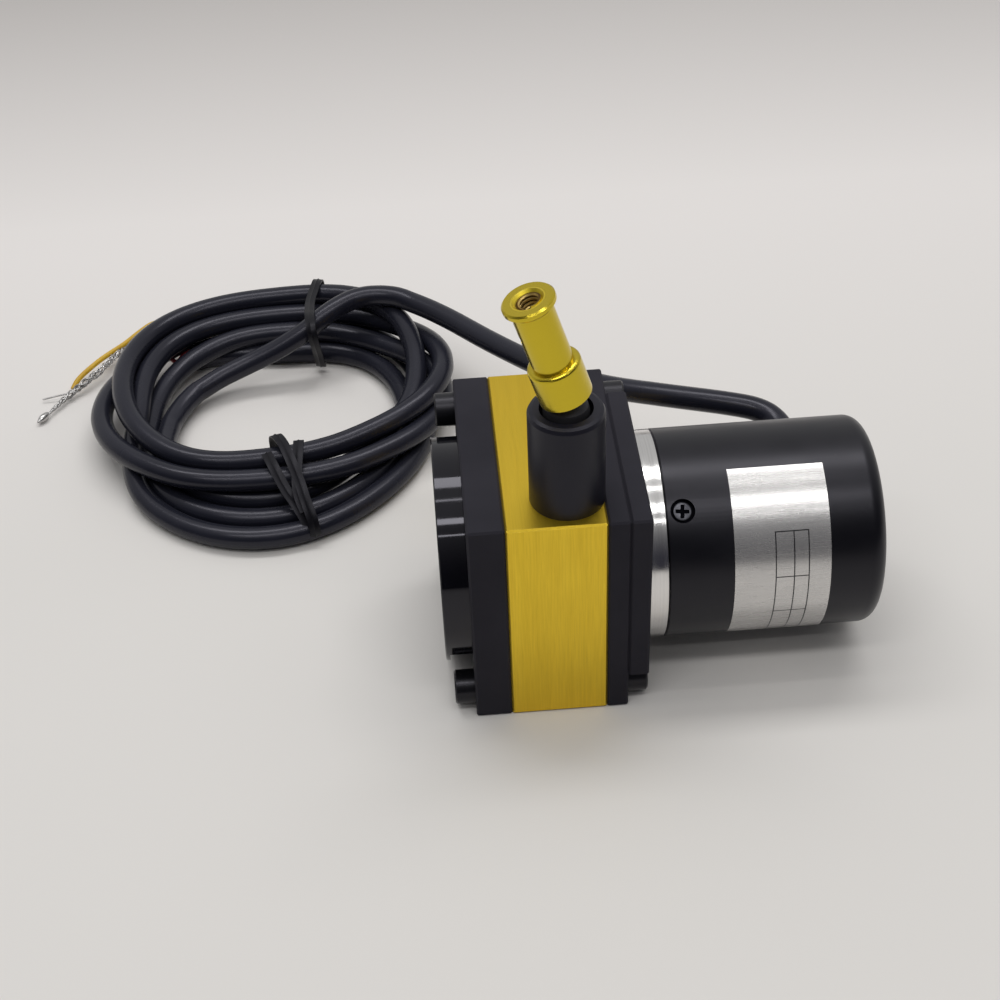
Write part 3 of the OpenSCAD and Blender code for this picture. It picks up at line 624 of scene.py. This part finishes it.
def screw_head():
    """Dull steel of the cap screws, with painted shade: black and without sheen down in the cross
    recess.
    """
    f = Finish("screw_head", Metallic=0.6, Specular_IOR_Level=0.4)
    _, radius = f.round_the_axis()
    top = CAP_SCREW_SEAT + SCREW_HEAD_H
    # painted shade: below the head's face, in the cross recess and down the head's side, the colour goes
    # black and fully metallic, so it shows neither light nor sheen
    up = f.span(radius, (top - 0.25) * MM, (top - 0.1) * MM)
    skin = f.group(GRAIN, Grain=1800.0, Patch=300.0)
    edges = f.group(EDGES, Reach=0.0002)
    face = f.mix(skin["Patch"], linear(84, 84, 90), linear(62, 62, 68))
    rim = f.mix(f.maths("MULTIPLY", edges["Wear"], 0.8), face, linear(156, 156, 162))
    f.colour(f.mix(up, linear(6, 6, 8), rim))
    f.wire(f.span(up, 0, 1, 1.0, 0.6), f.shader.inputs["Metallic"])
    f.roughness(f.span(skin["Patch"], 0, 1, 0.3, 0.42))
    return f.bump(skin["Grain"], 0.000005, 0.4).material


def insulation(name, tone, deep):
    """Coloured core insulation, slightly soft and uneven."""
    f = Finish(name, Roughness=0.45, Subsurface_Weight=0.05)
    skin = f.group(GRAIN, Grain=2200.0, Patch=160.0)
    dust = f.group(DUST, Specks=0.3)
    tone = f.mix(skin["Patch"], linear(*tone), linear(*deep))
    f.colour(f.mix(f.maths("MULTIPLY", dust["Dust"], 0.3), tone, linear(170, 168, 160)))
    f.roughness(f.span(skin["Patch"], 0, 1, 0.4, 0.52))
    return f.bump(skin["Grain"], 0.00002, 0.3).material


def foil():
    """Silver foil label with a fine lengthwise grain and an empty ruled table."""
    f = Finish("foil", Metallic=0.75, Roughness=0.25)
    split, _ = f.round_the_axis()
    length = split["X"]
    angle = f.maths("ARCTAN2", split["Z"], f.maths("MULTIPLY", split["Y"], -1.0))
    brushed = f.place(f.where, scale=(0.06, 1, 1))
    lines = f.group(LINES, Vector=brushed, Spacing=1800.0, Clumps=200.0)
    skin = f.group(GRAIN, Grain=2600.0, Patch=120.0)
    rule = RULE_WIDTH * MM
    turn = RULE_WIDTH / LABEL_R
    left, middle, right = (label_low[0] + w * MM for w in TABLE_COLUMNS)
    high, low = (math.radians(a) for a in TABLE_ANGLES)
    inside_x = f.maths("MULTIPLY", f.maths("GREATER_THAN", length, left - rule / 2),
                       f.maths("LESS_THAN", length, right + rule / 2))
    inside_a = f.maths("MULTIPLY", f.maths("GREATER_THAN", angle, low - turn / 2),
                       f.maths("LESS_THAN", angle, high + turn / 2))
    rules = [f.maths("COMPARE", length, x, rule / 2) for x in (left, middle, right)]
    rules += [f.maths("COMPARE", angle, math.radians(row), turn / 2) for row in TABLE_ROWS]
    marks = rules[0]
    for near in rules[1:]:
        marks = f.maths("MAXIMUM", marks, near)
    ink = f.maths("MULTIPLY", marks, f.maths("MULTIPLY", inside_x, inside_a))
    tone = f.mix(f.maths("MULTIPLY", lines["Lines"], 0.2), linear(214, 212, 210), linear(176, 174, 174))
    tone = f.mix(f.maths("MULTIPLY", skin["Patch"], 0.12), tone, linear(150, 148, 148))
    f.colour(f.mix(ink, tone, linear(34, 33, 36)))
    f.roughness(f.span(lines["Lines"], 0, 1, 0.21, 0.3))
    f.wire(f.span(ink, 0, 1, 0.75, 0.0), f.shader.inputs["Metallic"])
    return f.bump(skin["Grain"], 0.00001, 0.3).material


def circuit_green():
    f = Finish("board_green", Roughness=0.4, Coat_Weight=0.3)
    skin = f.group(GRAIN, Grain=1500.0, Patch=200.0)
    tracks = f.span(f.noise(f.place(f.where, scale=(1, 1, 0.15)), 900.0, 0), 0.49, 0.51)
    f.colour(f.mix(f.maths("MULTIPLY", tracks, 0.5), linear(18, 84, 48), linear(30, 110, 62)))
    f.roughness(f.span(skin["Patch"], 0, 1, 0.34, 0.46))
    return f.bump(tracks, 0.00003, 0.5).material


def ceramic_white():
    f = Finish("ceramic", Roughness=0.2, Coat_Weight=0.4)
    skin = f.group(GRAIN, Grain=3000.0, Patch=120.0)
    f.colour(f.mix(skin["Patch"], linear(236, 232, 222), linear(224, 218, 204)))
    f.roughness(f.span(skin["Patch"], 0, 1, 0.15, 0.26))
    return f.bump(skin["Grain"], 0.000005, 0.3).material


# ---- Lights and floor ------------------------------------------------------------------


def floor_finish():
    """Plain pale paper with a painted pool of light about 0.2 m back, and painted shade, a little
    darker, where it runs back out of the light.
    """
    f = Finish("floor", Roughness=0.75, Specular_IOR_Level=0.2)
    split = f.add("ShaderNodeSeparateXYZ")
    f.wire(f.where, split.inputs[0])
    # painted light: lighter from 0.04 m back up to 0.2 m; painted shade: darker again from 0.22 m to
    # 0.42 m and beyond
    painted_light_band = f.span(split.outputs["Y"], 0.04, 0.2)
    far = f.span(split.outputs["Y"], 0.22, 0.42)
    skin = f.group(GRAIN, Grain=900.0, Patch=6.0)
    mottle = f.maths("MULTIPLY", skin["Patch"], 0.3)
    near = f.mix(mottle, linear(222, 219, 215), linear(217, 214, 210))
    near = f.mix(painted_light_band, near, linear(230, 226, 223))
    f.colour(f.mix(far, near, linear(194, 190, 187)))
    f.roughness(f.span(skin["Patch"], 0, 1, 0.7, 0.8))
    return f.bump(skin["Grain"], 0.00002, 0.2).material


def make_floor():
    only_none()
    bpy.ops.mesh.primitive_plane_add(size=8.0, location=(0, 0, 0))
    floor = bpy.context.object
    floor.name = "floor"
    floor.data.materials.append(floor_finish())


def lamp(name, at, aim, size, power):
    """Soft box: a flat lamp size[0] wide and size[1] deep."""
    light = bpy.data.lights.new(name, "AREA")
    light.shape = "RECTANGLE"
    light.size, light.size_y = size
    light.energy = power
    obj = bpy.data.objects.new(name, light)
    bpy.context.scene.collection.objects.link(obj)
    turn = (Vector(aim) - Vector(at)).to_track_quat("-Z", "Y")
    obj.matrix_world = Matrix.Translation(at) @ turn.to_matrix().to_4x4()


# Soft boxes along the drum's axis: angle up from the front, depth and power of each
BOXES = (
    ("rear_box", 109, 0.25, 5.6),
    ("top_strip", 89, 0.04, 0.9),
    ("front_box", 67, 0.12, 3.4),
    ("front_strip", 53, 0.03, 0.8),
)
BOX_AIM = Vector((-0.05, 0, 0.03))
BOX_REACH = 1.2
BOX_LENGTH = 1.3


def make_lights():
    """A grey room, darker in front, and the long soft boxes overhead."""
    world = bpy.data.worlds.new("room")
    bpy.context.scene.world = world
    world.use_nodes = True
    nodes = Nodes(world.node_tree)
    back = world.node_tree.nodes["Background"]
    split = nodes.add("ShaderNodeSeparateXYZ")
    nodes.wire(nodes.add("ShaderNodeTexCoord").outputs["Generated"], split.inputs[0])
    high = nodes.maths("POWER", nodes.span(split.outputs["Z"], 0.0, 1.0), 3.0)
    front = nodes.mix(high, (0.03, 0.03, 0.04, 1), (0.56, 0.56, 0.56, 1))
    rear = nodes.mix(high, (0.50, 0.50, 0.50, 1), (0.56, 0.56, 0.56, 1))
    side = nodes.span(split.outputs["Y"], -0.35, 0.35)
    nodes.wire(nodes.mix(side, front, rear), back.inputs["Color"])
    back.inputs["Strength"].default_value = 1.0
    for name, angle, depth, power in BOXES:
        a = math.radians(angle)
        arm = Vector((0, -math.cos(a), math.sin(a))) * BOX_REACH
        lamp(name, BOX_AIM + arm, BOX_AIM, (BOX_LENGTH, depth), power)


# ---- Pieces ----------------------------------------------------------------------------

# Middle of the wire end's foot and of its mouth, and the radii of its hole in millimetres
FITTING_PIVOT = Vector((-22.85, -19.10, 89.0)) * MM
FITTING_TOP = Vector((-30.81, -20.00, 115.20)) * MM
THREAD_R = 2.5
SINK_R = 4.0

# Ruled table on the label: columns in millimetres from its left edge, angles round the cap
TABLE_COLUMNS = (9.8, 14.2, 17.7)
TABLE_ANGLES = (37.0, -58.0)
TABLE_ROWS = (37.0, 12.0, -12.5, -37.0)
RULE_WIDTH = 0.28
LABEL_R = 26.12

# The encoder's cap and its three sunk screws, in millimetres and degrees
CAP_ENDS = (0.85, 53.45)
CAP_OUT, CAP_WALL, CAP_ROUND = 26.0, 1.6, 4.0
CAP_EDGE = 0.3
CAP_SCREW_ANGLES = (51.5, 171.5, 291.5)
CAP_SCREW_X = 4.75
CAP_SCREW_SEAT = 24.7
CAP_BORE = 2.95
SKIRT_END = 9.0
SCREW_HEAD_R, SCREW_HEAD_H = 2.3, 0.7
GROMMET_AT = Vector((39.45, 0, 30.0)) * MM
GROMMET_HOLE = 4.2


def make_cable(finish):
    """The whole cable, from the grommet to its bare end."""
    line = cable_line()
    cable = cord_curve("signal_cable", line, CABLE_D / 2, rings=5)
    cable.data.materials.append(finish)
    return done(cable, "housing", "cable_jacket", "cable_lead", "cable_coil")


def make_cores(finishes):
    """The bare end: two cores, the screen's strands, one stray strand and the solder tip."""
    yellow = cord_curve("core_yellow_wire", swell(CORE_YELLOW, 3), 0.8 * MM, rings=3)
    yellow.data.materials.append(finishes["core_yellow"])
    done(yellow, "housing", "core_yellow", "core_yellow")
    red = cord_curve("core_red_wire", swell(CORE_RED, 3), 0.75 * MM, rings=3)
    red.data.materials.append(finishes["core_red"])
    done(red, "housing", "core_yellow")
    spine = swell(SCREEN, 9)
    screen = braid("screen_braid", spine, 6, 0.95 * MM, 0.27 * MM, 8 * MM, finishes["tinned"])
    done(screen, "housing", "tinned", "core_screen")
    stray = cord_curve("stray_strand", swell(STRAY_STRAND, 3), 0.28 * MM, rings=1)
    stray.data.materials.append(finishes["tinned"])
    done(stray, "housing", "tinned")
    tip = solder_tip(finishes["tinned"])
    done(tip, "housing", "tinned")
    return [yellow, red, screen, stray, tip]


def solder_tip(finish):
    """Blob of solder on the end of the screen: a ball drawn out to a point."""
    at = Vector(SCREEN[-1]) * MM
    way = (Vector(SCREEN[-1]) - Vector(SCREEN[-3])).normalized()
    only_none()
    bpy.ops.mesh.primitive_uv_sphere_add(segments=24, ring_count=14, radius=1.15 * MM)
    tip = bpy.context.object
    for vertex in tip.data.vertices:
        run = vertex.co.z / MM
        narrow = 1.0 - 0.42 * max(0.0, run) ** 1.3
        vertex.co.x *= narrow
        vertex.co.y *= narrow
        vertex.co.z *= 2.1 if run > 0 else 2.6
    turn = way.to_track_quat("Z", "Y").to_matrix().to_4x4()
    tip.matrix_world = Matrix.Translation(at - way * 1.4 * MM) @ turn
    tip.name = tip.data.name = "solder_tip"
    tip.data.materials.append(finish)
    return settle_place(tip)


# Twist ties round the coil, in millimetres, laid one by one
BACK_TIE = [
    (-86.0, 148.0, 1.2), (-86.0, 148.9, 6), (-85.6, 148.6, 12), (-85.8, 145.2, 18.6), (-87.2, 137, 19.6),
    (-88.0, 129.9, 20.4), (-88.0, 124, 21.6), (-87.8, 118.5, 22.6), (-87.4, 113.4, 21.6),
    (-86.8, 112.4, 17), (-86.4, 116, 10), (-86.2, 118.5, 4.5), (-86.4, 122, 1.6),
]
FRONT_TIE = [
    (-98.4, 71, 9), (-98.2, 69.6, 14.5), (-97.0, 66, 18.2), (-94.8, 61, 18.8), (-92.6, 54.8, 17.4),
    (-90.6, 49.4, 14.6), (-89.2, 44.4, 12.2), (-87.6, 40.2, 8.6), (-87.0, 38.6, 4.5), (-87.6, 40.6, 1.4),
]
FRONT_TAILS = [
    [(-99.8, 60.4, 16.5), (-97.6, 54.6, 15.8), (-94.6, 48.6, 12.6), (-91.2, 43.6, 9.6),
     (-88.4, 39.6, 5.6)],
    [(-90.6, 62.6, 18.5), (-90.9, 57.6, 17.6), (-91.3, 52.0, 15.2), (-91.0, 46.4, 12.6),
     (-89.4, 42.4, 9.4)],
]
TIE_WIDTH = 3.0 * MM


def ribbon(name, spine, across, width, finish):
    """Flat twist tie: a strip with a wire bead down its middle, lying square to across."""
    across = Vector(across).normalized()
    half, bead, thin = width / 2, 0.5 * MM, 0.22 * MM
    outline = [(-half, -thin), (-half * 0.35, -thin), (0, -bead), (half * 0.35, -thin), (half, -thin),
               (half, thin), (half * 0.35, thin), (0, bead), (-half * 0.35, thin), (-half, thin)]
    made = bmesh.new()
    rings = []
    for i, point in enumerate(spine):
        ahead = Vector(spine[min(i + 1, len(spine) - 1)]) - Vector(spine[max(i - 1, 0)])
        ahead.normalize()
        wide = (across - ahead * across.dot(ahead)).normalized()
        thick = ahead.cross(wide)
        rings.append([made.verts.new(Vector(point) + wide * x + thick * y) for x, y in outline])
    for a, b in zip(rings, rings[1:]):
        for k in range(len(outline)):
            n = (k + 1) % len(outline)
            made.faces.new((a[k], a[n], b[n], b[k]))
    made.faces.new(rings[0][::-1])
    made.faces.new(rings[-1])
    bmesh.ops.recalc_face_normals(made, faces=made.faces)
    mesh = bpy.data.meshes.new(name)
    made.to_mesh(mesh)
    made.free()
    strip = bpy.data.objects.new(name, mesh)
    bpy.context.scene.collection.objects.link(strip)
    return join(name, [strip], finish)


def make_ties(finish):
    """The back tie, and the front tie with its two tails."""
    back = ribbon("twist_tie_back", swell(BACK_TIE, 4), (0.956, -0.292, 0.05), TIE_WIDTH, finish)
    done(settle_place(back), "housing", "tie_black", "coil_tie_back")
    strips = [ribbon(f"front_strip_{i}", swell(path, 4), (0.985, 0.17, 0.1), TIE_WIDTH, finish)
              for i, path in enumerate([FRONT_TIE] + FRONT_TAILS)]
    front = join("twist_tie_front", strips, finish)
    done(settle_place(front), "housing", "tie_black", "coil_tie_front")
    return [back, front]


def select_parts(obj, kind, test):
    """Open the piece in edit mode with just the edges or faces that pass the test selected."""
    bpy.ops.object.mode_set(mode="EDIT")
    bpy.ops.mesh.select_mode(type=kind)
    bpy.ops.mesh.select_all(action="DESELECT")
    bpy.ops.object.mode_set(mode="OBJECT")
    corners = obj.data.vertices
    for part in obj.data.edges if kind == "EDGE" else obj.data.polygons:
        part.select = all(test(corners[v].co) for v in part.vertices)
    bpy.ops.object.mode_set(mode="EDIT")


def round_edges(obj, test, offset, segments):
    """Bevel the edges whose ends pass the test."""
    select_parts(obj, "EDGE", test)
    bpy.ops.mesh.bevel(offset=offset, segments=segments)
    bpy.ops.object.mode_set(mode="OBJECT")


def cap_screw(finish):
    """Small pan head screw with a cross recess, standing on +Z at the origin."""
    only_none()
    bpy.ops.mesh.primitive_cylinder_add(vertices=40, radius=SCREW_HEAD_R * MM, depth=1.2 * MM,
                                        location=(0, 0, 0.1 * MM))
    head = bpy.context.object
    round_edges(head, lambda at: at.z > 0.5 * MM, 0.3 * MM, 3)
    for turn in (0, 90):
        only_none()
        bpy.ops.mesh.primitive_cube_add(size=1.0, location=(0, 0, 0.62 * MM),
                                        rotation=(0, 0, math.radians(turn)),
                                        scale=(3.4 * MM, 1.0 * MM, 1.3 * MM))
        slot = bpy.context.object
        apply(head, "BOOLEAN", object=slot, operation="DIFFERENCE", solver="EXACT")
        bpy.data.objects.remove(slot)
    head.data.materials.clear()
    head.data.materials.append(finish)
    return head


def cap_screw_place(angle):
    """Seat of one cap screw and the way its head looks."""
    a = math.radians(angle)
    out = Vector((0, -math.cos(a), math.sin(a)))
    return Vector((CAP_SCREW_X * MM, 0, AXIS_Z)) + out * CAP_SCREW_SEAT * MM, out


def make_cap_screws(finish):
    heads = []
    model = cap_screw(finish)
    for angle in CAP_SCREW_ANGLES:
        seat, out = cap_screw_place(angle)
        copy = bpy.data.objects.new("head", model.data.copy())
        bpy.context.scene.collection.objects.link(copy)
        copy.matrix_world = (
            Matrix.Translation(seat)
            @ out.to_track_quat("Z", "X").to_matrix().to_4x4()
            @ Matrix.Rotation(math.radians(-6), 4, "Z")
        )
        heads.append(copy)
    bpy.data.objects.remove(model)
    screws = join("cap_screw_heads", heads, finish)
    done(settle_place(screws), "housing", "black_steel", "cap_screws")


def cutter(foot, way, radius, height):
    """Round bar that stands on foot and runs along way, to cut a hole with."""
    only_none()
    bpy.ops.mesh.primitive_cylinder_add(vertices=64, radius=radius, depth=height,
                                        location=(0, 0, height / 2))
    bar = bpy.context.object
    only(bar)
    bpy.ops.object.transform_apply(location=True, rotation=True, scale=True)
    bar.matrix_world = Matrix.Translation(foot) @ way.to_track_quat("Z", "X").to_matrix().to_4x4()
    return bar


def make_cap(finish):
    """The encoder's cap: a cup rounded at its end, bored for three screws and the grommet."""
    start, end = CAP_ENDS
    half, tiny = (end - start) / 2 * MM, 0.01 * MM
    floor = half - CAP_WALL * MM
    only_none()
    bpy.ops.mesh.primitive_cylinder_add(vertices=144, radius=CAP_OUT * MM, depth=2 * half)
    cap = bpy.context.object
    round_edges(cap, lambda at: at.z > half - tiny, CAP_ROUND * MM, 12)
    select_parts(cap, "FACE", lambda at: at.z < tiny - half)
    bpy.ops.mesh.inset(thickness=CAP_WALL * MM)
    bpy.ops.mesh.extrude_region_move(TRANSFORM_OT_translate={"value": (0, 0, floor + half)})
    bpy.ops.object.mode_set(mode="OBJECT")
    inside, outside = (CAP_OUT - 1) * MM, (CAP_OUT - 0.5) * MM
    round_edges(cap, lambda at: abs(at.z - floor) < tiny and at.xy.length < inside,
                (CAP_ROUND - CAP_WALL) * MM, 6)
    round_edges(cap, lambda at: at.z < tiny - half and at.xy.length > outside, CAP_EDGE * MM, 1)
    middle = Vector(((start + end) / 2 * MM, 0, AXIS_Z))
    cap.matrix_world = Matrix.Translation(middle) @ Matrix.Rotation(math.radians(90), 4, "Y")
    bars = []
    for angle in CAP_SCREW_ANGLES:
        seat, out = cap_screw_place(angle)
        bars.append(cutter(seat, out, CAP_BORE * MM, 2 * MM))
    out = Vector((0, math.cos(GROMMET_LEAN), math.sin(GROMMET_LEAN)))
    bars.append(cutter(GROMMET_AT + out * 20 * MM, out, GROMMET_HOLE * MM, 8 * MM))
    for bar in bars:
        apply(cap, "BOOLEAN", object=bar, operation="DIFFERENCE", solver="EXACT")
        bpy.data.objects.remove(bar)
    cap = join("turned_cap", [cap], finish)
    done(settle_place(cap), "housing", "cap_black", "encoder_cap")


def make_thread(finish):
    """Ridges of the tapped hole in the wire end, run as one helix down its mouth and bore."""
    axis = (FITTING_TOP - FITTING_PIVOT).normalized()
    pitch, depth, steps, first = 1.0, 6.0, 24, 0.35
    points = []
    for i in range(int(depth / pitch * steps) + 1):
        a, down = i / steps * 2 * math.pi, first + i / steps * pitch
        out = max(THREAD_R, 3.2 - down)
        points.append(Vector((out * math.cos(a), out * math.sin(a), -down)) * MM)
    helix = cord_curve("fitting_thread", points, 0.42 * MM, rings=1, smooth=False)
    turn = axis.to_track_quat("Z", "Y").to_matrix().to_4x4()
    helix.matrix_world = Matrix.Translation(FITTING_TOP) @ turn
    ridge = join("fitting_thread", [as_mesh(helix)], finish)
    done(settle_place(ridge), "fitting", "gold_bright")


def make_drawn_wire(finish):
    """The straight run of wire: its foot stays at the drum and it rises straight to its top."""
    low, high = (np.array(corner, float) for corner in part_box("wire_run"))
    radius = (high[0] - low[0]) / 2
    foot = np.array([(low[0] + high[0]) / 2, (low[1] + high[1]) / 2, low[2]])
    rise = np.array([0, 0, high[2] - low[2]])
    steps = 24
    run = [foot + rise * i / steps for i in range(steps + 1)]
    strand = as_mesh(cord_curve("drawn_wire", run, radius, rings=2, smooth=False))
    wire = join("drawn_wire", [strand], finish)
    settle_place(wire)
    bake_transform(wire)
    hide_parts("wire_run")


# ---- Build -----------------------------------------------------------------------------


def finishes():
    """Every finish by the name of its slot, and the one of the cap screws' heads."""
    return {
        "gold_anodised": gold_brushed(),
        "gold_bright": gold_turned(),
        "black_anodised": black_skin("black_anodised", (42, 41, 47), (60, 60, 67), 0.5, 2600.0, 0.00001,
                                     specular=0.06, dusty=0.05, wear=0.2),
        "black_gloss": black_skin("black_gloss", (8, 8, 12), (50, 50, 56), 0.08, 1200.0, 0.0000005,
                                  specular=0.42, wear=0.1, dusty=0.05),
        "black_steel": black_skin("black_steel", (14, 14, 17), (70, 70, 74), 0.32, 1800.0, 0.000005,
                                  dusty=0.12, specular=0.35),
        "outlet_black": black_skin("outlet_black", (20, 20, 29), (50, 50, 58), 0.42, 2200.0, 0.000005,
                                   dusty=0.15, specular=0.3),
        # bored=True gives the cap painted shade, black without sheen, in its screw holes and inside its
        # open end
        "cap_black": black_skin("cap_black", (9, 9, 14), (46, 46, 52), 0.33, 2400.0, 0.000003,
                                specular=0.36, dusty=0.15, reach=0.0005, bored=True),
        "rubber_black": black_skin("rubber_black", (24, 24, 26), (46, 46, 50), 0.6, 1500.0, 0.00003),
        "tie_black": black_skin("tie_black", (12, 12, 16), (60, 60, 66), 0.4, 1800.0, 0.00003,
                                reach=0.0001, dusty=0.04, specular=0.22),
        "turned_silver": turned_metal("turned_silver", (232, 230, 228), (190, 189, 189), 0.13,
                                      spacing=2600.0, tint=0.25),
        "steel": turned_metal("steel", (196, 196, 198), (140, 140, 143), 0.3),
        "spring_steel": turned_metal("spring_steel", (128, 134, 146), (84, 88, 98), 0.32),
        "drum_aluminium": turned_metal("drum_aluminium", (200, 200, 202), (150, 150, 153), 0.34),
        "wire_steel": turned_metal("wire_steel", (180, 180, 184), (96, 96, 100), 0.36,
                                   spacing=5200.0, tint=0.7),
        "brass": turned_metal("brass", (206, 172, 92), (150, 118, 52), 0.32),
        "tinned": turned_metal("tinned", (206, 204, 202), (120, 119, 120), 0.3, spacing=2400.0),
        "magnet": turned_metal("magnet", (120, 120, 124), (80, 80, 84), 0.38),
        "cable_jacket": jacket(),
        "core_yellow": insulation("core_yellow", (214, 172, 38), (190, 146, 26)),
        "core_red": insulation("core_red", (150, 22, 34), (120, 14, 26)),
        "screw_head": screw_head(),
        "foil": foil(),
        "board_green": circuit_green(),
        "ceramic": ceramic_white(),
    }


NODES_OF = {
    "gold_anodised": ["drum_block"],
    "gold_bright": ["wire_fitting"],
    "black_anodised": ["spring_plate", "bearing_plate", "encoder_flange"],
    "black_gloss": ["spring_case", "spring_cover"],
    "black_steel": ["cover_screws", "tie_screws_spring_side", "tie_screws_encoder_side",
                    "cap_screws"],
    "outlet_black": ["wire_outlet"],
    "ceramic": ["guide_bush"],
    "steel": ["flange_screws", "bearing_spring_side", "bearing_encoder_side", "base_screws",
              "encoder_bearing", "drum_shaft", "shaft_spacers", "spring_arbor", "clamp_collar",
              "encoder_shaft"],
    "spring_steel": ["power_spring"],
    "turned_silver": ["encoder_base"],
    "board_green": ["encoder_board"],
    "brass": ["board_posts"],
    "cap_black": ["encoder_cap"],
    "rubber_black": ["cable_grommet", "wire_stop"],
    "foil": ["foil_label"],
    "drum_aluminium": ["wire_drum"],
    "wire_steel": ["wound_wire", "wire_bead", "wire_run"],
    "magnet": ["magnet"],
    "cable_jacket": ["cable_lead", "cable_coil"],
    "tie_black": ["coil_tie_back", "coil_tie_front"],
    "core_yellow": ["core_yellow"],
    "tinned": ["core_screen"],
}


def dress_nodes(looks):
    """Give every carried-over node the finish of its slot."""
    slot_of = {node: slot for slot, nodes in NODES_OF.items() for node in nodes}
    for name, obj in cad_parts.items():
        slot = slot_of[name]
        if not obj.material_slots:
            obj.data.materials.append(looks[slot])
        for place in obj.material_slots:
            place.material = looks[slot]


bpy.context.scene.view_settings.view_transform = "Standard"
place_camera()
make_floor()
make_lights()
looks = finishes()
cable = make_cable(looks["cable_jacket"])
on_cable = make_cores(looks) + make_ties(looks["tie_black"])
make_cap_screws(looks["screw_head"])
make_cap(looks["cap_black"])
make_thread(looks["gold_bright"])
make_drawn_wire(looks["wire_steel"])
dress_nodes(looks)
